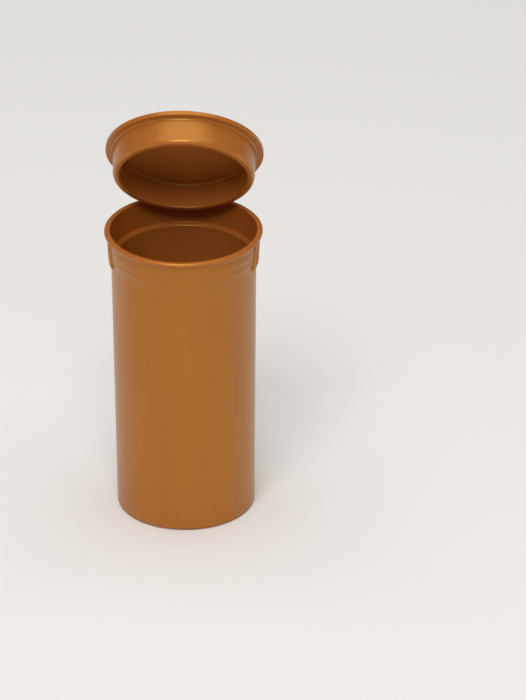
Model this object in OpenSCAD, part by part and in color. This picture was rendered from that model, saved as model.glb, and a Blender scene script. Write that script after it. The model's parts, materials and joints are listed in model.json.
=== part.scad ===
// One-piece squeeze-open prescription vial with a hinged plug lid.
// Millimetres. +Z is up, the origin is the centre of the base, the hinge is at the back (+Y).

/* [Vial body] */
// Height of the open mouth above the table
vial_h = 78.5; // [60:0.5:110]
// Outer radius of the body just under the collar
body_r = 18.55; // [15:0.05:25]
// How much smaller the outer radius is at the base
draft = 0.7; // [0:0.05:1.2]
// Thickness of the side wall
wall = 1.15; // [0.8:0.05:1.6]
// Thickness of the floor
floor_t = 1.4; // [0.8:0.1:3]
// Outer radius of the rounding at the base
heel_r = 0.9; // [0.4:0.1:1.4]
// Inner radius of the rounding at the floor
inner_heel_r = 1.8; // [0.6:0.1:4]
// Width of the ring that the vial stands on, heel rounding included
foot_w = 2.4; // [2:0.1:4]
// Depth of the recess inside that ring
foot_recess = 0.5; // [0.1:0.1:1]

/* [Mouth] */
// How far the rim stands out from the body
rim_out = 1.7; // [1.4:0.05:2.4]
// Width of the rim, seen from above
rim_w = 1.5; // [1.2:0.05:1.8]
// Height of the rim's outer face
rim_h = 1.1; // [0.8:0.1:2]
// Height of the cove under the rim
cove_h = 0.7; // [0.3:0.1:1.2]
// How much the mouth narrows from the rim to the ledge
mouth_taper = 0.4; // [0.1:0.05:0.6]
// Height of the sloping ledge under the mouth wall
ledge_h = 0.7; // [0.4:0.1:1.5]
// How far the collar runs down past the ledge
collar_below = 1.1; // [0.2:0.1:2]
// How far the upper band of the collar stands out from the body
band_1_out = 0.65; // [0.5:0.05:0.9]
// How far the middle band stands out
band_2_out = 0.45; // [0.35:0.05:0.6]
// How far the lower band stands out
band_3_out = 0.15; // [0.1:0.05:0.3]
// Distance of the upper band's lower edge below the rim
band_1_d = 4.3; // [2.4:0.1:5]
// Height of the lower band
band_3_h = 2; // [1:0.1:4]
// Height of the slope at each band's edge
band_edge = 0.4; // [0.1:0.05:0.4]

/* [Squeeze ribs] */
// Number of ribs on each side
rib_count = 7; // [3:1:9]
// Angle between two ribs, in degrees
rib_pitch = 5.3; // [4.5:0.1:7]
// Width of a rib
rib_w = 0.9; // [0.5:0.05:1.2]
// How far the ribs stand out from the body at their top
rib_out_top = 1.1; // [0.8:0.05:1.3]
// How far the ribs stand out from the body at their foot
rib_out_foot = 0.65; // [0.4:0.05:0.8]
// How far the ribs run down past the collar, below 0 when they end above its foot
rib_below = 0.8; // [-0.2:0.1:5]
// Height of the slope at a rib's foot
rib_slope = 0.6; // [0.3:0.1:1.5]

/* [Hinge] */
// Distance of the hinge line behind the rim's outer edge
hinge_back = 0.45; // [0.15:0.05:0.8]
// Width of the hinge, along its line
hinge_w = 13.5; // [8:0.5:18]
// Radius of the bead that stands for the folded film
web_r = 0.3; // [0.2:0.05:0.4]
// Running gap between the bead and the lid's tab
web_gap = 0.06; // [0.04:0.01:0.1]
// Distance of both tabs' back faces from the hinge line
tab_setback = 0.12; // [0.1:0.01:0.2]
// Height of the slope under the rim's tab
tab_slope_h = 1.4; // [0.5:0.1:3]
// Bevel of the lid tab's upper edge
tab_bevel = 0.3; // [0.1:0.05:0.5]
// Radius of the tabs' outer corners
tab_corner_r = 0.5; // [0.2:0.1:1]
// Width of the pad on the back wall
pad_w = 25.4; // [20:0.2:30]
// How far the pad runs down past the collar
pad_below = 3; // [0.5:0.1:8]
// Radius of the pad's lower corners
pad_corner_r = 6; // [2:0.5:8]
// How far the pad stands out from the body
pad_out = 1.3; // [1:0.05:1.5]

/* [Lid] */
// Opening angle of the lid as shown, 0 when shut
lid_open = 55; // [0:1:175]
// Gap between the shut lid and the rim
lid_gap = 0.1; // [0.05:0.01:0.2]
// How much smaller the lid's radius is than the rim's
lid_inset = 0.05; // [0:0.05:0.5]
// Thickness of the lid at its edge bead
lid_t = 1.3; // [1:0.1:2]
// Width of the edge bead
lid_bead_w = 1.3; // [0.8:0.1:2]
// Depth of the panel below the top of the edge bead
panel_recess = 0.2; // [0.1:0.05:0.4]
// Depth of the plug skirt below the lid's underside
plug_h = 7.1; // [4:0.1:11]
// Gap between the shut plug skirt and the ledge
plug_end_gap = 0.2; // [0.1:0.05:5]
// Gap between the plug skirt's root and the mouth wall
plug_gap = 0.4; // [0.3:0.05:0.8]
// Gap between the mouth's edge and the skirt as the lid swings through it
swing_gap = 0.14; // [0.1:0.02:0.3]
// Least gap between the seal bead and the mouth wall
seal_gap = 0.1; // [0.05:0.01:0.3]
// Thickness of the plug skirt
plug_wall = 1.1; // [0.8:0.05:1.4]
// Rounding of the skirt's free edge
plug_edge_r = 0.5; // [0.2:0.05:0.5]
// Fillet inside the skirt's root
plug_fillet = 0.7; // [0.3:0.1:1.5]
// Width of the seal bead round the skirt
bead_w = 1.5; // [0.8:0.1:2]
// How far the seal bead stands out from the skirt
bead_out = 0.07; // [0.05:0.01:0.2]

/* [Lid marks] */
// Height of all raised marks
mark_h = 0.3; // [0.2:0.05:0.5]
// Length of the double-headed arrow
arrow_l = 27.5; // [20:0.5:30]
// Width of the arrow's shaft
arrow_shaft_w = 1; // [0.6:0.1:2]
// Length of an arrow head
arrow_head_l = 4.6; // [3:0.1:6]
// Width of an arrow head
arrow_head_w = 4.8; // [3:0.1:7]
// Number of plain bars over the arrow
bar_count = 7; // [3:1:9]
// Angle between two bars, in degrees
bar_pitch = 21; // [12:1:22]
// Distance of the bars' inner ends from the centre
bar_r = 11.5; // [9:0.1:12]
// Length of a bar
bar_l = 3.8; // [2:0.1:4.5]
// Width of a bar
bar_w = 1.3; // [0.8:0.1:2]

/* [Hidden] */
$fn = 240;
gold = [0.65, 0.44, 0.2];
gold_light = [0.74, 0.54, 0.3];
gold_dark = [0.5, 0.3, 0.12];
// Steps of a rounding drawn as points
arc_steps = 6;
// Chamfer of the rim's outer edges
rim_chamfer = 0.3;
// Rounding of the rim's inner edge
rim_edge_r = 0.3;
// Rounding of the lid's upper edge
lid_edge_r = 0.45;
// A length that reaches past anything it has to cut
far = 100;

base_r = body_r - draft;
rim_r = body_r + rim_out;
mouth_r = rim_r - rim_w;
ledge_r = mouth_r - mouth_taper;
// The mouth is as deep as the plug needs, and the bands end with it
mouth_d = plug_h - lid_gap + plug_end_gap;
collar_d = mouth_d + ledge_h + collar_below;
band_2_d = collar_d - band_3_h;
rib_d = collar_d + rib_below;
pad_d = collar_d + pad_below;
collar_z = vial_h - collar_d;
bore_top_r = body_r - wall;
bore_base_r = base_r - wall;
floor_z = foot_recess + floor_t;
band_1_r = body_r + band_1_out;
band_2_r = body_r + band_2_out;
band_3_r = body_r + band_3_out;
pad_r = body_r + pad_out;
hinge_y = rim_r + hinge_back;
hinge_z = vial_h + lid_gap;
tab_y = hinge_y - tab_setback;
lid_r = rim_r - lid_inset;
lid_z = vial_h + lid_gap;
panel_t = lid_t - panel_recess;
panel_r = lid_r - lid_bead_w;
plug_root_r = mouth_r - plug_gap;
plug_rim_d = plug_h - plug_edge_r;
bead_mid_d = plug_rim_d - bead_w / 2;
bead_crest_h = bead_w / 3;
// The seal bead's crest is as wide as its swing round the hinge line and the mouth wall let it be
bead_low_d = bead_mid_d + bead_crest_h / 2;
swing_r = hinge_y + mouth_r - swing_gap;
swing_crest_r = sqrt(pow(swing_r, 2) - pow(bead_low_d, 2)) - hinge_y;
wall_crest_r = mouth_r - mouth_taper * (bead_low_d - lid_gap) / mouth_d - seal_gap;
bead_crest_r = min(swing_crest_r, wall_crest_r);
// The skirt narrows evenly from its root, so that the bead stands out from it by its own height
plug_taper = (plug_root_r - bead_crest_r + bead_out) * plug_rim_d / bead_mid_d;
plug_end_r = plug_root_r - plug_taper;

// Points of an arc round c, from angle a0 to angle a1
function arc(c, r, a0, a1) =
    [for (i = [0:arc_steps]) let (a = a0 + (a1 - a0) * i / arc_steps)
        [c[0] + r * cos(a), c[1] + r * sin(a)]];

// Outline of the collar's bands, from its foot up to the cove, as [radius, height]
function band_outline() = [
    [body_r, collar_z],
    [band_3_r, collar_z + band_edge],
    [band_3_r, vial_h - band_2_d - band_edge],
    [band_2_r, vial_h - band_2_d],
    [band_2_r, vial_h - band_1_d - band_edge],
    [band_1_r, vial_h - band_1_d],
    [band_1_r, vial_h - rim_h - cove_h]];

// Outline of the rim's outer face, from the cove up to the top
function rim_outline() = [
    [rim_r - rim_chamfer, vial_h - rim_h],
    [rim_r, vial_h - rim_h + rim_chamfer],
    [rim_r, vial_h - rim_chamfer],
    [rim_r - rim_chamfer, vial_h]];

// Outline of the mouth, from the rim down to the joint with the body
function collar_inside() = concat(
    arc([mouth_r + rim_edge_r, vial_h - rim_edge_r], rim_edge_r, 90, 180),
    [[ledge_r, vial_h - mouth_d],
     [(ledge_r + bore_top_r) / 2 + 0.1, vial_h - mouth_d - ledge_h * 0.3],
     [bore_top_r, vial_h - mouth_d - ledge_h],
     [bore_top_r, collar_z]]);

// The space under the rim that the body and the collar fill, with the cove's slope carried on above it
module under_rim_core() {
    cove_out = rim_r - rim_chamfer - band_1_r;
    rotate_extrude()
        polygon(concat(
            [[0, 0], [base_r, 0]],
            band_outline(),
            [[band_1_r + 2 * cove_out, vial_h - rim_h + cove_h], [0, vial_h - rim_h + cove_h]]));
}

// The space that the rim fills, with its chamfers carried on past both faces
module rim_core() {
    over = rim_chamfer + 1;
    rotate_extrude()
        polygon([
            [0, vial_h - rim_h - 1],
            [rim_r - over, vial_h - rim_h - 1],
            [rim_r, vial_h - rim_h + rim_chamfer],
            [rim_r, vial_h - rim_chamfer],
            [rim_r - over, vial_h + 1],
            [0, vial_h + 1]]);
}

// Turns the shut lid back round the hinge line to its opening angle
module lid_place() {
    translate([0, hinge_y, hinge_z])
        rotate([-lid_open, 0, 0])
            translate([0, -hinge_y, -hinge_z])
                children();
}

// A cylinder along the hinge line
module hinge_bar(r, w) {
    translate([-w / 2, hinge_y, hinge_z])
        rotate([0, 90, 0])
            cylinder(r = r, h = w);
}

// A flat outline with two rounded corners at the back, of width w, reaching back to y
module tab_outline(w, y, r) {
    translate([-w / 2, 0])
        square([w, y - r]);
    translate([-w / 2 + r, 0])
        square([w - 2 * r, y]);
    for (s = [-1, 1])
        translate([s * (w / 2 - r), y - r])
            circle(r);
}

module vial_body() {
    color(gold)
        rotate_extrude()
            polygon(concat(
                [[0, foot_recess],
                 [base_r - foot_w - foot_recess, foot_recess],
                 [base_r - foot_w, 0]],
                arc([base_r - heel_r, heel_r], heel_r, -90, 0),
                [[body_r, collar_z], [bore_top_r, collar_z]],
                arc([bore_base_r - inner_heel_r, floor_z + inner_heel_r], inner_heel_r, 0, -90),
                [[0, floor_z]]));
}

module mouth_collar() {
    color(gold)
        rotate_extrude()
            polygon(concat(band_outline(), rim_outline(), collar_inside()));
}

// One rib at angle a, standing on the collar
module grip_rib(a) {
    top_z = vial_h - rim_h;
    foot_z = vial_h - rib_d;
    rotate([0, 0, a])
        rotate([90, 0, 0])
            linear_extrude(rib_w, center = true)
                polygon([
                    [body_r - 1, foot_z - 1],
                    [body_r - 0.3, foot_z],
                    [body_r + rib_out_foot, foot_z + rib_slope],
                    [body_r + rib_out_top, top_z],
                    [body_r - 1, top_z]]);
}

// A patch of ribs centred on angle a
module grip_ribs(a) {
    color(gold_light)
        difference() {
            for (i = [0:rib_count - 1])
                grip_rib(a + (i - (rib_count - 1) / 2) * rib_pitch);
            under_rim_core();
        }
}

module grip_ribs_left() {
    grip_ribs(180);
}

module grip_ribs_right() {
    grip_ribs(0);
}

// Rounded pad on the back wall, with the slope that carries the rim's tab
module hinge_pad() {
    top_z = vial_h - rim_h;
    color(gold)
        difference() {
            union() {
                intersection() {
                    cylinder(r = pad_r, h = top_z);
                    translate([0, far, vial_h])
                        rotate([90, 0, 0])
                            linear_extrude(far)
                                rotate(180)
                                    tab_outline(pad_w, pad_d, pad_corner_r);
                }
                translate([-hinge_w / 2, 0, 0])
                    rotate([90, 0, 90])
                        linear_extrude(hinge_w)
                            polygon([
                                [pad_r - pad_out / 2, top_z - tab_slope_h],
                                [tab_y - tab_corner_r, top_z],
                                [pad_r - pad_out / 2, top_z]]);
            }
            under_rim_core();
        }
}

// Straight block on the rim that the film hinge grows from
module rim_hinge_tab() {
    color(gold_dark)
        difference() {
            translate([0, 0, vial_h - rim_h])
                linear_extrude(rim_h)
                    tab_outline(hinge_w, tab_y, tab_corner_r);
            rim_core();
            hinge_bar(web_r, hinge_w + 1);
        }
}

// The film that joins lid and rim, drawn as a slim bead on the hinge line
module hinge_web() {
    color(gold_light)
        hinge_bar(web_r, hinge_w - 2 * tab_corner_r);
}

module lid_panel() {
    color(gold)
        lid_place()
            translate([0, 0, lid_z])
                rotate_extrude()
                    polygon(concat(
                        [[0, 0], [lid_r - 0.2, 0], [lid_r, 0.2]],
                        arc([lid_r - lid_edge_r, lid_t - lid_edge_r], lid_edge_r, 0, 90),
                        [[panel_r + panel_recess, lid_t], [panel_r, panel_t], [0, panel_t]]));
}

// Ring under the lid that plugs the mouth
module plug_skirt() {
    inner_r = plug_end_r - plug_wall;
    color(gold_light)
        lid_place()
            translate([0, 0, lid_z])
                rotate_extrude()
                    polygon(concat(
                        [[plug_root_r, 0],
                         [plug_end_r, -plug_rim_d]],
                        arc([plug_end_r - plug_edge_r, -plug_rim_d], plug_edge_r, 0, -90),
                        arc([inner_r + plug_edge_r, -plug_rim_d], plug_edge_r, -90, -180),
                        arc([inner_r - plug_fillet, -plug_fillet], plug_fillet, 0, 90)));
}

// Low ring round the skirt near its free edge, which seals on the mouth wall
module seal_bead() {
    slope = plug_taper / plug_rim_d;
    skirt_top = plug_root_r - slope * (bead_mid_d - bead_w / 2);
    skirt_low = plug_root_r - slope * (bead_mid_d + bead_w / 2);
    color(gold_light)
        lid_place()
            translate([0, 0, lid_z - bead_mid_d])
                rotate_extrude()
                    polygon([
                        [skirt_low, -bead_w / 2],
                        [bead_crest_r, -bead_crest_h / 2],
                        [bead_crest_r, bead_crest_h / 2],
                        [skirt_top, bead_w / 2]]);
}

// Straight tab at the back of the lid that the film hinge grows from
module lid_hinge_tab() {
    color(gold_dark)
        lid_place()
            difference() {
                intersection() {
                    translate([0, 0, lid_z])
                        linear_extrude(panel_t)
                            tab_outline(hinge_w, tab_y, tab_corner_r);
                    translate([-hinge_w / 2, 0, lid_z])
                        rotate([90, 0, 90])
                            linear_extrude(hinge_w)
                                polygon([
                                    [0, 0], [tab_y, 0], [tab_y, panel_t - tab_bevel],
                                    [tab_y - tab_bevel, panel_t], [0, panel_t]]);
                }
                translate([0, 0, lid_z - 1])
                    cylinder(r = lid_r, h = lid_t + 2);
                hinge_bar(web_r + web_gap, hinge_w + 1);
            }
}

// Double-headed arrow that shows where to squeeze
module squeeze_arrow() {
    tip = arrow_l / 2;
    neck = tip - arrow_head_l;
    head = arrow_head_w / 2;
    shaft = arrow_shaft_w / 2;
    color(gold_light)
        lid_place()
            translate([0, 0, lid_z + panel_t])
                linear_extrude(mark_h)
                    polygon([
                        [-tip, 0], [-neck, head], [-neck, shaft],
                        [neck, shaft], [neck, head], [tip, 0],
                        [neck, -head], [neck, -shaft],
                        [-neck, -shaft], [-neck, -head]]);
}

// Plain raised bars in an arc between the arrow and the hinge
module lid_bars() {
    color(gold_light)
        lid_place()
            translate([0, 0, lid_z + panel_t])
                for (i = [0:bar_count - 1])
                    rotate(90 + (i - (bar_count - 1) / 2) * bar_pitch)
                        translate([bar_r, -bar_w / 2, 0])
                            cube([bar_l, bar_w, mark_h]);
}

vial_body();
mouth_collar();
grip_ribs_left();
grip_ribs_right();
hinge_pad();
rim_hinge_tab();
hinge_web();
lid_panel();
plug_skirt();
seal_bead();
lid_hinge_tab();
squeeze_arrow();
lid_bars();
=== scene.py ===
import json
import math

import bmesh
import bpy
from mathutils import Matrix, Vector


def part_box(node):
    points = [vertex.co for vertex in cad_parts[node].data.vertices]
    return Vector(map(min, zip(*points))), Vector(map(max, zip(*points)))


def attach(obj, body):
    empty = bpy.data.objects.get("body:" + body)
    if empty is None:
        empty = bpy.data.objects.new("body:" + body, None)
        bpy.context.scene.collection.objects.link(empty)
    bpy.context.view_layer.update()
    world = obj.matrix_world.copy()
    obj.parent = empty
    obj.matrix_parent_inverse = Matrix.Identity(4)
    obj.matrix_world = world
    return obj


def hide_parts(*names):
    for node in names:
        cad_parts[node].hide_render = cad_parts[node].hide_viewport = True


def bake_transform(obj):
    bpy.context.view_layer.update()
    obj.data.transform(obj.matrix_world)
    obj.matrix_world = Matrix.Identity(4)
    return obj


# A one-piece squeeze-open prescription vial in pearl-gold plastic, with its plug lid part open.
# Metres throughout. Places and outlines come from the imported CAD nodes. The named values below add the
# roundings of the moulding, which the CAD solids leave out, and repeat the few CAD sizes that a node's
# corners don't give directly, such as the pitch of the ribs.

MM = 0.001

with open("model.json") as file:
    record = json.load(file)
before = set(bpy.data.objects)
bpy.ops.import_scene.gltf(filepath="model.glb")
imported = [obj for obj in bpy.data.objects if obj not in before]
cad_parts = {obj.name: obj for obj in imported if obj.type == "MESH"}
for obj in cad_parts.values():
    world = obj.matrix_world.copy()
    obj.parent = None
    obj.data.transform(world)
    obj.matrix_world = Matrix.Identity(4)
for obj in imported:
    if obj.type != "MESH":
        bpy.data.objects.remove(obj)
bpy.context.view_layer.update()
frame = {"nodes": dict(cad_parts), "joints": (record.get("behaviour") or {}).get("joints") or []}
nodes = frame["nodes"]

# ---------------------------------------------------------------- sizes of the moulding

SEGMENTS = 192
ARC_STEP = math.radians(12)
SHARP = math.radians(38)
SAME = 0.006 * MM
BURIED = 0.03 * MM
EMBED = 0.18 * MM

FOOT_EDGE = 0.35 * MM
RIM_EDGE = 0.28 * MM
BAND_EDGE = 2.0 * MM
SLOPE_STRETCH = 0.35 * MM
BAND_EDGE_TOP = 1.5 * MM
RIB_COUNT = 7
RIB_PITCH = math.radians(5.3)
RIB_W = 0.9 * MM
RIB_SIDE = 0.34 * MM
RIB_FOOT_OUT = 0.65 * MM
RIB_FOOT_H = 0.9 * MM
RIB_OVERRUN = 0.4 * MM
RIB_CROWN = 0.06 * MM
RIB_FILLET = 0.08 * MM
PAD_CORNER_R = 6 * MM
PAD_EDGE = 1.1 * MM
TAB_SLOPE_H = 1.4 * MM
TAB_SLOPE_FOOT = 0.65 * MM
TAB_SLOPE_SIDE = 0.5 * MM
TAB_SLOPE_FILLET = 0.15 * MM
TAB_ROOT_Y = 19 * MM
LID_TAB_ROOT_Y = 18.95 * MM
TAB_INSET = 0.01 * MM
TAB_CORNER_R = 0.5 * MM
TAB_EDGE = 0.16 * MM
FILM_R = 0.3 * MM
FILM_T = 0.2 * MM
FILM_ROOT = math.radians(125)
FILM_END_W = 0.12 * MM
FILM_END_THIN = 0.5
ROLL_W = 1.5 * MM
LID_ROUNDING = 1.2 * MM
PLUG_FILLET = 0.7 * MM
PLUG_ROOT = 0.3 * MM
PLUG_EDGE_W = 0.4 * MM
PLUG_LEAD_IN = 0.9 * MM
PLUG_ROUNDING = 0.5 * MM
LONG_SHARE = 0.46
SINK = 0.05 * MM
LID_TAB_EDGE = 0.5 * MM
DISH_W = 1.3 * MM
BAR_COUNT = 7
BAR_PITCH = math.radians(21)
BAR_W = 1.3 * MM
ARROW_HEAD_L = 4.6 * MM
ARROW_HEAD_W = 4.8 * MM
ARROW_SHAFT_W = 1.0 * MM
MARK_EDGE = 0.12 * MM
MARK_SINK = 0.1 * MM

FLOOR_REACH = 6.0
LIGHT_AIM = Vector((0, 0, 45 * MM))
CAMERA_LENS = 308.57
CAMERA_PLACE = (0.0202, -1.3673, 0.7673)
CAMERA_ORBIT = math.radians(2.2)
CAMERA_TILT = math.radians(62.1)
CAMERA_ROLL = math.radians(-0.18)

hinge_joint = frame["joints"][0]
hinge = Vector(hinge_joint["pos_m"])
open_angle = math.radians(-hinge_joint["range_deg"][0])
open_lid = (
    Matrix.Translation(hinge)
    @ Matrix.Rotation(-open_angle, 4, "X")
    @ Matrix.Translation(-hinge)
)
shut_lid = open_lid.inverted()

# ---------------------------------------------------------------- helpers


def lerp(a, b, t):
    return a + (b - a) * t


def smoothstep(t):
    t = min(max(t, 0.0), 1.0)
    return t * t * (3 - 2 * t)


def smooth_max(a, b, soft):
    return 0.5 * (a + b + math.sqrt((a - b) ** 2 + soft**2))


def spread(low, high, count):
    return [lerp(low, high, i / (count - 1)) for i in range(count)]


def polar(r, angle, z):
    return Vector((r * math.cos(angle), r * math.sin(angle), z))


def points_of(node, matrix=Matrix()):
    return [matrix @ v.co for v in nodes[node].data.vertices]


def outline(node, matrix=Matrix()):
    """The corners of a turned node's section as (radius, height), in order along it."""
    rings, ring_of = [], []
    for p in points_of(node, matrix):
        r = math.hypot(p.x, p.y)
        for i, (ring_r, ring_z) in enumerate(rings):
            if abs(ring_r - r) < SAME and abs(ring_z - p.z) < SAME:
                ring_of.append(i)
                break
        else:
            ring_of.append(len(rings))
            rings.append((r, p.z))
    links = {i: set() for i in range(len(rings))}
    for edge in nodes[node].data.edges:
        a, b = (ring_of[v] for v in edge.vertices)
        if a != b:
            links[a].add(b)
            links[b].add(a)
    ends = [i for i in links if len(links[i]) == 1]
    at = min(ends or links, key=lambda i: (rings[i][1], rings[i][0]))
    path = [at]
    while True:
        ahead = [i for i in links[at] if i not in path]
        if not ahead:
            break
        at = min(ahead, key=lambda i: (rings[i][1], -rings[i][0]))
        path.append(at)
    return [rings[i] for i in path]


def soften(corners, closed, radius=0.25 * MM, share=0.42):
    """The same section with each corner turned into an arc of this radius, where its sides have room."""
    done = []
    count = len(corners)
    for i, (r, z) in enumerate(corners):
        here = Vector((r, z))
        if not closed and i in (0, count - 1):
            done.append(here)
            continue
        before = Vector(corners[i - 1]) - here
        after = Vector(corners[(i + 1) % count]) - here
        turn = math.pi - before.angle(after)
        wanted = radius(r, z) if callable(radius) else radius
        reach = min(wanted * math.tan(turn / 2), share * before.length, share * after.length)
        if turn < 0.02 or reach < 0.004 * MM:
            done.append(here)
            continue
        start, end = here + before.normalized() * reach, here + after.normalized() * reach
        steps = max(2, math.ceil(turn / ARC_STEP))
        arc_r = reach / math.tan(turn / 2)
        centre = here + (before.normalized() + after.normalized()).normalized() * math.hypot(arc_r, reach)
        first = start - centre
        side = 1 if first.x * (end - centre).y - first.y * (end - centre).x > 0 else -1
        if reach < 0.9 * share * before.length:
            done.append(start + before.normalized() * 0.2 * reach)
        for k in range(steps + 1):
            c, s = math.cos(side * turn * k / steps), math.sin(side * turn * k / steps)
            done.append(centre + Vector((first.x * c - first.y * s, first.x * s + first.y * c)))
        if reach < 0.9 * share * after.length:
            done.append(end + after.normalized() * 0.2 * reach)
    return [(p.x, p.y) for p in done]


def finish_mesh(bm, name, matrix=Matrix(), sharp=SHARP):
    bmesh.ops.recalc_face_normals(bm, faces=bm.faces)
    mesh = bpy.data.meshes.new(name)
    bm.to_mesh(mesh)
    bm.free()
    mesh.transform(matrix)
    mesh.shade_smooth()
    mesh.set_sharp_from_angle(angle=sharp)
    obj = bpy.data.objects.new(name, mesh)
    bpy.context.scene.collection.objects.link(obj)
    return obj


def lathe(name, section, closed, matrix=Matrix()):
    """A section of (radius, height) points turned round the Z axis. An open one ends on the axis."""
    bm = bmesh.new()
    rows = []
    for r, z in section:
        if r < SAME:
            rows.append([bm.verts.new((0, 0, z))])
        else:
            rows.append([bm.verts.new(polar(r, math.tau * k / SEGMENTS, z)) for k in range(SEGMENTS)])
    pairs = list(zip(rows, rows[1:])) + ([(rows[-1], rows[0])] if closed else [])
    for low, high in pairs:
        for k in range(SEGMENTS):
            n = (k + 1) % SEGMENTS
            ring = [low[k % len(low)], low[n % len(low)], high[n % len(high)], high[k % len(high)]]
            bm.faces.new(list(dict.fromkeys(ring)))
    return finish_mesh(bm, name, matrix)


def patch(name, angles, heights, outer, inner):
    """A closed skin on the wall between outer(angle, height) and inner(angle, height), both radii."""
    bm = bmesh.new()
    front = [[bm.verts.new(polar(outer(a, h), a, h)) for a in angles] for h in heights]
    back = [[bm.verts.new(polar(inner(a, h), a, h)) for a in angles] for h in heights]
    last_row, last_column = len(heights) - 1, len(angles) - 1
    for i in range(last_row):
        for j in range(last_column):
            for side in (front, back):
                bm.faces.new((side[i][j], side[i][j + 1], side[i + 1][j + 1], side[i + 1][j]))
    border = [(0, j) for j in range(last_column)] + [(i, last_column) for i in range(last_row)]
    border += [(last_row, j) for j in range(last_column, 0, -1)] + [(i, 0) for i in range(last_row, 0, -1)]
    for (i, j), (m, n) in zip(border, border[1:] + border[:1]):
        bm.faces.new((front[i][j], front[m][n], back[m][n], back[i][j]))
    return finish_mesh(bm, name)


def slab(name, outlines, z_low, z_high, edge, matrix=Matrix(), both_ends=True):
    """Flat outlines drawn up from z_low to z_high, with rounded edges at the top, or at both ends."""
    bm = bmesh.new()
    for corners in outlines:
        low = [bm.verts.new((x, y, z_low)) for x, y in corners]
        high = [bm.verts.new((x, y, z_high)) for x, y in corners]
        bm.faces.new(low)
        bm.faces.new(high)
        for i in range(len(corners)):
            n = (i + 1) % len(corners)
            bm.faces.new((low[i], low[n], high[n], high[i]))
    bmesh.ops.recalc_face_normals(bm, faces=bm.faces)
    chosen = []
    for e in bm.edges:
        from_z, to_z = (v.co.z for v in e.verts)
        if abs(from_z - to_z) < SAME and (both_ends or from_z > (z_low + z_high) / 2):
            chosen.append(e)
    bmesh.ops.bevel(bm, geom=chosen, offset=edge, segments=3, profile=0.5, affect="EDGES", clamp_overlap=True)
    return finish_mesh(bm, name, matrix)


def tab_outline(width, y_low, y_high, corner_r):
    """A flat tab with its two outer corners rounded."""
    half = width / 2
    corners = [(-half, y_low), (half, y_low)]
    for side, start in ((1, 0), (-1, 90)):
        for k in range(7):
            a = math.radians(start + 15 * k)
            x = side * (half - corner_r) + corner_r * math.cos(a)
            corners.append((x, y_high - corner_r + corner_r * math.sin(a)))
    return corners


# ---------------------------------------------------------------- the vial

body_section = outline("vial_body")
collar_section = outline("mouth_collar")
collar_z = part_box("vial_body")[1].z
rim_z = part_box("mouth_collar")[1].z
body_r = max(r for r, z in body_section if abs(z - collar_z) < SAME)
straight_z = min(z for r, z in body_section if r > body_r - 1 * MM)
straight_r = max(r for r, z in body_section if abs(z - straight_z) < SAME)
tab_low, tab_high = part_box("rim_hinge_tab")
top_z = tab_low.z
hinge_w = tab_high.x - tab_low.x


def body_edges(r, z):
    """The body's roundings: none where it meets the collar."""
    return 0 if abs(z - collar_z) < SAME else FOOT_EDGE


def collar_edges(r, z):
    """The collar's roundings: none where it meets the body, long ones on its bands, short ones on its rim."""
    if abs(z - collar_z) < SAME:
        return 0
    return BAND_EDGE if r > body_r - SAME and z < rim_z - BAND_EDGE_TOP else RIM_EDGE


def draw_out(section):
    """The collar's section with the slopes between its bands made longer, as a mould leaves them."""
    widest_corner = section.index(max(section))
    eased = []
    for i, (r, z) in enumerate(section):
        if i < widest_corner and r > body_r + SAME and z < top_z - 1 * MM:
            slope_starts = section[i + 1][0] > r + SAME
            z += -SLOPE_STRETCH if slope_starts else SLOPE_STRETCH
        eased.append((r, z))
    return eased


collar_profile = soften(draw_out(collar_section), True, collar_edges)
widest = max(range(len(collar_profile)), key=lambda i: collar_profile[i][0])
collar_outside = [(z, r) for r, z in collar_profile[: widest + 1] if r > body_r - SAME]


def wall_radius(z):
    """The outer radius of the body or the collar at a height."""
    if z <= collar_z:
        return lerp(straight_r, body_r, (z - straight_z) / (collar_z - straight_z))
    for (z0, r0), (z1, r1) in zip(collar_outside, collar_outside[1:]):
        if z0 <= z <= z1 and z1 > z0:
            return lerp(r0, r1, (z - z0) / (z1 - z0))
    return collar_outside[-1][1]


floor_ring, foot_ring = body_section[-1], body_section[0]
body_ends = [(0, foot_ring[1])] + body_section + [(0, floor_ring[1])]
vial_barrel = lathe("vial_barrel", soften(body_ends, False, body_edges), False)
collar_ring = lathe("collar_ring", collar_profile, True)

rib_box_low, rib_box_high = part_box("grip_ribs_right")
rib_foot_z = rib_box_low.z
rib_top_out = rib_box_high.x - body_r


def rib_patch(name, middle):
    """A patch of upright ribs, with a small fillet where each one meets the wall."""
    centres = [middle + (i - (RIB_COUNT - 1) / 2) * RIB_PITCH for i in range(RIB_COUNT)]
    reach = RIB_W / 2 + RIB_SIDE / 2
    angles = []
    for centre in centres:
        angles += [centre + t / body_r for t in spread(-1.25 * reach, 1.25 * reach, 21)]
    foot_top_z = rib_foot_z + RIB_FOOT_H
    heights = spread(rib_foot_z - RIB_OVERRUN, foot_top_z, 12)
    heights += spread(foot_top_z, top_z + 0.1 * MM, 36)[1:]

    def crest(z):
        rise = smoothstep((z - rib_foot_z) / RIB_FOOT_H)
        up = min(max((z - rib_foot_z) / (top_z - rib_foot_z), 0.0), 1.0)
        return lerp(-0.3 * MM, lerp(RIB_FOOT_OUT, rib_top_out, up), rise)

    def outer(angle, z):
        off = min(abs(angle - c) for c in centres) * body_r
        rise = smoothstep((reach - off) / RIB_SIDE)
        crown = RIB_CROWN * (off / reach) ** 2
        under = wall_radius(z) - BURIED
        rib = lerp(body_r - 0.4 * MM, body_r + crest(z) - crown, rise)
        return min(smooth_max(under - 0.02 * MM, rib, RIB_FILLET) - 0.01 * MM, body_r + rib_top_out)

    return patch(name, angles, heights, outer, lambda a, z: wall_radius(z) - EMBED)


ribs_left = rib_patch("grip_ribs_left_side", math.pi)
ribs_right = rib_patch("grip_ribs_right_side", 0.0)

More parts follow.
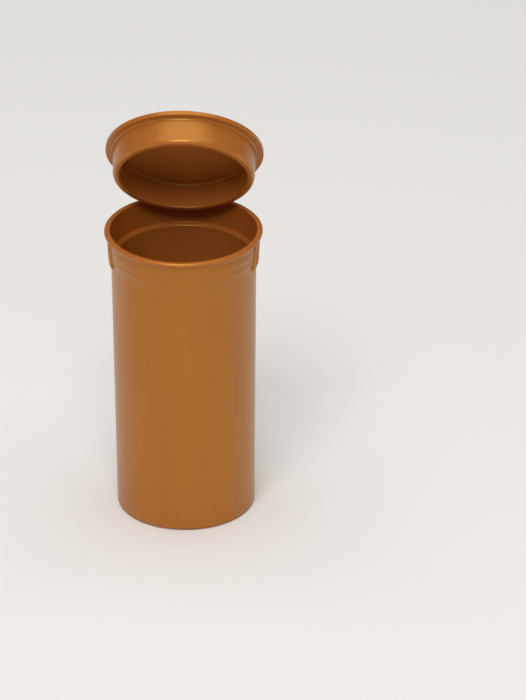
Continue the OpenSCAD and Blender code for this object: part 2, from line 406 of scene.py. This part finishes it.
pad_low, pad_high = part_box("hinge_pad")
pad_half = (pad_high.x - pad_low.x) / 2
pad_r = max(math.hypot(p.x, p.y) for p in points_of("hinge_pad") if p.z < pad_low.z + PAD_CORNER_R)


def pad_outer(angle, z):
    """The pad on the back wall: rounded below, open above, with the slope under the hinge tab."""
    x = abs(pad_r * math.cos(angle))
    inside = min(pad_half - x, z - pad_low.z)
    corner_x, corner_z = x - (pad_half - PAD_CORNER_R), pad_low.z + PAD_CORNER_R - z
    if corner_x > 0 and corner_z > 0:
        inside = PAD_CORNER_R - math.hypot(corner_x, corner_z)
    pad = lerp(wall_radius(z) - BURIED, pad_r, smoothstep(inside / PAD_EDGE))
    foot_y, head_y = pad_r - TAB_SLOPE_FOOT, tab_high.y - TAB_CORNER_R
    slope_y = lerp(foot_y, head_y, (z - top_z + TAB_SLOPE_H) / TAB_SLOPE_H)
    slope = slope_y / math.sin(angle)
    across = smoothstep((hinge_w / 2 - x) / TAB_SLOPE_SIDE)
    return lerp(pad, smooth_max(pad, slope, TAB_SLOPE_FILLET), across)


pad_reach = math.asin(pad_half / pad_r)
tab_reach = math.asin(hinge_w / 2 / pad_r)
tab_fine = 0.6 * MM
fine_zones = [(tab_reach, tab_fine), (-tab_reach, tab_fine), (pad_reach, PAD_EDGE), (-pad_reach, PAD_EDGE)]
pad_angles = spread(-pad_reach, pad_reach, 61)
for edge_angle, width in fine_zones:
    fine = [edge_angle + t / pad_r for t in spread(-width, width, 13)]
    pad_angles += [a for a in fine if abs(a) < pad_reach]
pad_angles = sorted(pad_angles)
pad_angles = [a for a, b in zip(pad_angles, pad_angles[1:]) if b - a > 1e-5] + [pad_angles[-1]]
pad_corner_z = pad_low.z + PAD_CORNER_R
pad_heights = spread(pad_low.z - 0.1 * MM, pad_corner_z, 36)
pad_heights += spread(pad_corner_z, top_z + 0.05 * MM, 34)[1:]
hinge_pad = patch(
    "back_pad",
    [math.pi / 2 + a for a in pad_angles],
    pad_heights,
    pad_outer,
    lambda a, z: wall_radius(z) - EMBED,
)

rim_tab = slab(
    "rim_tab",
    [tab_outline(hinge_w, TAB_ROOT_Y, tab_high.y, TAB_CORNER_R)],
    top_z + TAB_INSET,
    rim_z - TAB_INSET,
    TAB_EDGE,
)

# ---------------------------------------------------------------- the lid, built shut and then opened

panel_section = outline("lid_panel", shut_lid)
skirt_section = outline("plug_skirt", shut_lid)
bead_section = outline("seal_bead", shut_lid)
lid_z = min(z for r, z in panel_section)
lid_r = max(r for r, z in panel_section)
lid_top = max(z for r, z in panel_section)
panel_top = min(z for r, z in panel_section if z > lid_z + 0.7 * MM and r < lid_r - 1 * MM)
skirt_root_r = max(r for r, z in skirt_section if abs(z - lid_z) < SAME)

panel_corners = [
    (0, lid_z),
    (lid_r - 0.05 * MM, lid_z),
    (lid_r, lid_z + 0.2 * MM),
    (lid_r - 0.02 * MM, lid_top - 0.25 * MM),
    (lid_r - 0.45 * MM, lid_top),
    (lid_r - ROLL_W, lid_top - 0.04 * MM),
    (lid_r - ROLL_W - DISH_W, panel_top),
    (0, panel_top),
]
lid_disc = lathe("lid_disc", soften(panel_corners, False, LID_ROUNDING, LONG_SHARE), False, open_lid)

plug_low = min(z for r, z in skirt_section)
plug_in_r = min(r for r, z in skirt_section)
bead_top_z = max(z for r, z in bead_section)
bead_low_z = min(z for r, z in bead_section)
crest_r = max(r for r, z in bead_section)
crest_z = (bead_top_z + bead_low_z) / 2
bead_top_r = max(r for r, z in bead_section if abs(z - bead_top_z) < SAME)
edge_r = plug_in_r + PLUG_EDGE_W
plug_corners = [
    (skirt_root_r + PLUG_ROOT, lid_z + SINK),
    (skirt_root_r + PLUG_ROOT, lid_z - 0.005 * MM),
    (skirt_root_r, lid_z - PLUG_ROOT),
    (bead_top_r, bead_top_z),
    (crest_r, crest_z + 0.2 * MM),
    (crest_r - 0.03 * MM, crest_z - 0.4 * MM),
    (lerp(edge_r, crest_r, 0.8), plug_low + 0.15 * MM),
    (edge_r, plug_low),
    (plug_in_r, plug_low + 0.2 * MM),
    (plug_in_r, lid_z - PLUG_FILLET),
]
for k in range(1, 7):
    a = math.radians(15 * k)
    fillet_r = plug_in_r - PLUG_FILLET * (1 - math.cos(a))
    plug_corners.append((fillet_r, lid_z - PLUG_FILLET * (1 - math.sin(a))))
plug_corners.append((plug_in_r - PLUG_FILLET, lid_z + SINK))


def plug_radius(r, z):
    """The skirt's roundings: a long one where it leads into the mouth, shorter ones elsewhere."""
    return PLUG_LEAD_IN if z < crest_z and r > edge_r + SAME else PLUG_ROUNDING


plug_ring = lathe("plug_ring", soften(plug_corners, True, plug_radius, LONG_SHARE), True, open_lid)

lid_tab_y = max(p.y for p in points_of("lid_hinge_tab", shut_lid))
lid_tab = slab(
    "lid_tab",
    [tab_outline(hinge_w, LID_TAB_ROOT_Y, lid_tab_y, TAB_CORNER_R)],
    lid_z + TAB_INSET,
    panel_top - TAB_INSET,
    LID_TAB_EDGE,
    open_lid,
)

mark_top = max(p.z for p in points_of("squeeze_arrow", shut_lid))
arrow_half = max(p.x for p in points_of("squeeze_arrow"))
neck = arrow_half - ARROW_HEAD_L
head, shaft = ARROW_HEAD_W / 2, ARROW_SHAFT_W / 2
arrow_outline = [
    (-arrow_half, 0), (-neck, -head), (-neck, -shaft), (neck, -shaft), (neck, -head),
    (arrow_half, 0), (neck, head), (neck, shaft), (-neck, shaft), (-neck, head),
]
arrow = slab("double_arrow", [arrow_outline], panel_top - MARK_SINK, mark_top, MARK_EDGE, open_lid, False)

bar_points = points_of("lid_bars", shut_lid)
bar_in = min(math.hypot(p.x, p.y) for p in bar_points)
bar_out = max(p.y for p in bar_points)
bar_outlines = []
for i in range(BAR_COUNT):
    a = math.pi / 2 + (i - (BAR_COUNT - 1) / 2) * BAR_PITCH
    along, across = Vector((math.cos(a), math.sin(a))), Vector((-math.sin(a), math.cos(a)))
    corners = [(bar_in, -BAR_W / 2), (bar_out, -BAR_W / 2), (bar_out, BAR_W / 2), (bar_in, BAR_W / 2)]
    bar_outlines.append([tuple(along * u + across * v) for u, v in corners])
bars = slab("grip_bars", bar_outlines, panel_top - MARK_SINK, mark_top, MARK_EDGE, open_lid, False)

# ---------------------------------------------------------------- the film between them


def round_hinge(r, angle, x=0.0):
    return Vector((x, hinge.y + r * math.cos(angle), hinge.z + r * math.sin(angle)))


film_half = hinge_w / 2 - TAB_CORNER_R
film_from, film_to = -FILM_ROOT, FILM_ROOT - open_angle


def film_strip(name):
    """The film bent round the hinge line, thinner at its two ends."""
    ends = [(-film_half, FILM_END_THIN), (-film_half + FILM_END_W, 1)]
    ends += [(-x, thin) for x, thin in ends[::-1]]
    turn = spread(film_from, film_to, 33)
    bm = bmesh.new()
    stations = []
    for x, thin in ends:
        out_r = FILM_R - (1 - thin) * FILM_T / 2
        in_r = FILM_R - FILM_T + (1 - thin) * FILM_T / 2
        ring = [bm.verts.new(round_hinge(out_r, a, x)) for a in turn]
        ring += [bm.verts.new(round_hinge(in_r, a, x)) for a in turn[::-1]]
        stations.append(ring)
    for low, high in zip(stations, stations[1:]):
        for i in range(len(low)):
            n = (i + 1) % len(low)
            bm.faces.new((low[i], low[n], high[n], high[i]))
    for ring in (stations[0], stations[-1]):
        for i in range(len(turn) - 1):
            bm.faces.new((ring[i], ring[i + 1], ring[-2 - i], ring[-1 - i]))
    return finish_mesh(bm, name)


film = film_strip("hinge_film")

# ---------------------------------------------------------------- materials


def pearl(name, deep, light, roughness, tilt=0.0):
    """Pearl-gold moulded plastic: flow marks, streaks along the draw, a fine mica grain, a soft sheen."""
    material = bpy.data.materials.new(name)
    material.use_nodes = True
    tree = material.node_tree
    shader = tree.nodes["Principled BSDF"]
    place = tree.nodes.new("ShaderNodeTexCoord")

    def noise(scale, detail, length):
        """Noise whose marks are this many times longer along the draw of the mould than across it."""
        mapping = tree.nodes.new("ShaderNodeMapping")
        mapping.vector_type = "TEXTURE"
        mapping.inputs["Rotation"].default_value = (tilt, 0, 0)
        mapping.inputs["Scale"].default_value = (1, 1, length)
        texture = tree.nodes.new("ShaderNodeTexNoise")
        texture.inputs["Scale"].default_value = scale
        texture.inputs["Detail"].default_value = detail
        tree.links.new(place.outputs["Object"], mapping.inputs["Vector"])
        tree.links.new(mapping.outputs["Vector"], texture.inputs["Vector"])
        return texture.outputs["Fac"]

    def blend(first, second, share):
        """The first value times share, plus the second times the rest."""
        part = tree.nodes.new("ShaderNodeMath")
        part.operation = "MULTIPLY"
        part.inputs[1].default_value = 1 - share
        tree.links.new(second, part.inputs[0])
        total = tree.nodes.new("ShaderNodeMath")
        total.operation = "MULTIPLY_ADD"
        total.inputs[1].default_value = share
        tree.links.new(first, total.inputs[0])
        tree.links.new(part.outputs[0], total.inputs[2])
        return total.outputs[0]

    flow = noise(scale=45, detail=3, length=3)
    streaks = noise(scale=520, detail=2, length=14)
    mica = noise(scale=3600, detail=2, length=1)
    ramp = tree.nodes.new("ShaderNodeValToRGB")
    ramp.color_ramp.elements[0].position = 0.36
    ramp.color_ramp.elements[0].color = (*deep, 1)
    ramp.color_ramp.elements[1].position = 0.64
    ramp.color_ramp.elements[1].color = (*light, 1)
    marks = blend(flow, streaks, 0.7)
    tree.links.new(blend(marks, mica, 0.8), ramp.inputs["Fac"])
    tree.links.new(ramp.outputs["Color"], shader.inputs["Base Color"])

    rough = tree.nodes.new("ShaderNodeMapRange")
    rough.inputs["From Min"].default_value = 0.3
    rough.inputs["From Max"].default_value = 0.7
    rough.inputs["To Min"].default_value = roughness - 0.03
    rough.inputs["To Max"].default_value = roughness + 0.04
    tree.links.new(marks, rough.inputs["Value"])
    tree.links.new(rough.outputs["Result"], shader.inputs["Roughness"])

    grain = tree.nodes.new("ShaderNodeBump")
    grain.inputs["Strength"].default_value = 0.02
    grain.inputs["Distance"].default_value = 0.03 * MM
    tree.links.new(noise(scale=4200, detail=2, length=1), grain.inputs["Height"])
    wave = tree.nodes.new("ShaderNodeBump")
    wave.inputs["Strength"].default_value = 0.12
    wave.inputs["Distance"].default_value = 0.25 * MM
    tree.links.new(noise(scale=70, detail=1, length=2), wave.inputs["Height"])
    tree.links.new(wave.outputs["Normal"], grain.inputs["Normal"])
    tree.links.new(grain.outputs["Normal"], shader.inputs["Normal"])

    shader.inputs["IOR"].default_value = 2.0
    shader.inputs["Specular Tint"].default_value = (1.0, 0.62, 0.16, 1)
    shader.inputs["Subsurface Weight"].default_value = 0.45
    shader.inputs["Subsurface Radius"].default_value = (1.0, 0.5, 0.18)
    shader.inputs["Subsurface Scale"].default_value = 1.3 * MM
    return material


def colour(red, green, blue):
    """An sRGB colour of 0 to 255 as linear values."""
    linear = []
    for c in (red / 255, green / 255, blue / 255):
        linear.append(c / 12.92 if c <= 0.04045 else ((c + 0.055) / 1.055) ** 2.4)
    return tuple(linear)


gold = pearl("pearl_gold", colour(171, 97, 38), colour(182, 109, 45), 0.3)
lid_gold = pearl("pearl_gold_lid", colour(171, 97, 38), colour(182, 109, 45), 0.3, -open_angle)
film_gold = pearl("pearl_gold_film", colour(172, 94, 44), colour(186, 106, 52), 0.36)

pieces = [
    (vial_barrel, "vial", ["vial_body"]),
    (collar_ring, "vial", ["mouth_collar"]),
    (ribs_left, "vial", ["grip_ribs_left"]),
    (ribs_right, "vial", ["grip_ribs_right"]),
    (hinge_pad, "vial", ["hinge_pad"]),
    (rim_tab, "vial", ["rim_hinge_tab"]),
    (lid_disc, "lid", ["lid_panel"]),
    (plug_ring, "lid", ["plug_skirt", "seal_bead"]),
    (lid_tab, "lid", ["lid_hinge_tab"]),
    (arrow, "lid", ["squeeze_arrow"]),
    (bars, "lid", ["lid_bars"]),
]
for piece, body, replaced in pieces:
    piece.data.materials.append(lid_gold if body == "lid" else gold)
    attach(piece, body)
    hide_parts(*replaced)

film.data.materials.append(film_gold)
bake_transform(film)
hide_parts("hinge_web")

# ---------------------------------------------------------------- floor, light and camera

scene = bpy.context.scene
scene.view_settings.view_transform = "Standard"

floor_mesh = bpy.data.meshes.new("floor")
floor_corners = [(x * FLOOR_REACH, y * FLOOR_REACH, 0) for x, y in ((-1, -1), (1, -1), (1, 1), (-1, 1))]
floor_mesh.from_pydata(floor_corners, [], [(0, 1, 2, 3)])
floor = bpy.data.objects.new("floor", floor_mesh)
scene.collection.objects.link(floor)
paper = bpy.data.materials.new("paper")
paper.use_nodes = True
paper_shader = paper.node_tree.nodes["Principled BSDF"]
paper_shader.inputs["Base Color"].default_value = (0.875, 0.858, 0.84, 1)
paper_shader.inputs["Roughness"].default_value = 0.75
paper_shader.inputs["Specular IOR Level"].default_value = 0.2
floor_mesh.materials.append(paper)

world = bpy.data.worlds.new("tent")
world.use_nodes = True
world.node_tree.nodes["Background"].inputs["Color"].default_value = (0.93, 0.96, 1.0, 1)
world.node_tree.nodes["Background"].inputs["Strength"].default_value = 0.16
scene.world = world


def soft_box(name, place, size, power, tint):
    """An area light that faces the middle of the vial."""
    light = bpy.data.lights.new(name, "AREA")
    light.shape = "RECTANGLE"
    light.size, light.size_y = size
    light.energy = power
    light.color = tint
    lamp = bpy.data.objects.new(name, light)
    aim = LIGHT_AIM - Vector(place)
    lamp.location = place
    lamp.rotation_euler = aim.to_track_quat("-Z", "Y").to_euler()
    scene.collection.objects.link(lamp)


soft_box("overhead", place=(0.0, 0.15, 1.35), size=(1.7, 1.5), power=12.3, tint=(1.0, 0.99, 0.97))
soft_box("front", place=(-0.1, -0.85, 1.15), size=(0.7, 0.5), power=10, tint=(1.0, 0.98, 0.95))

camera_data = bpy.data.cameras.new("camera")
camera_data.sensor_width = 36
camera_data.lens = CAMERA_LENS
camera_data.clip_start, camera_data.clip_end = 0.05, 30
camera = bpy.data.objects.new("camera", camera_data)
camera.matrix_world = (
    Matrix.Rotation(CAMERA_ORBIT, 4, "Z")
    @ Matrix.Translation(CAMERA_PLACE)
    @ Matrix.Rotation(CAMERA_TILT, 4, "X")
    @ Matrix.Rotation(CAMERA_ROLL, 4, "Z")
)
scene.collection.objects.link(camera)
scene.camera = camera
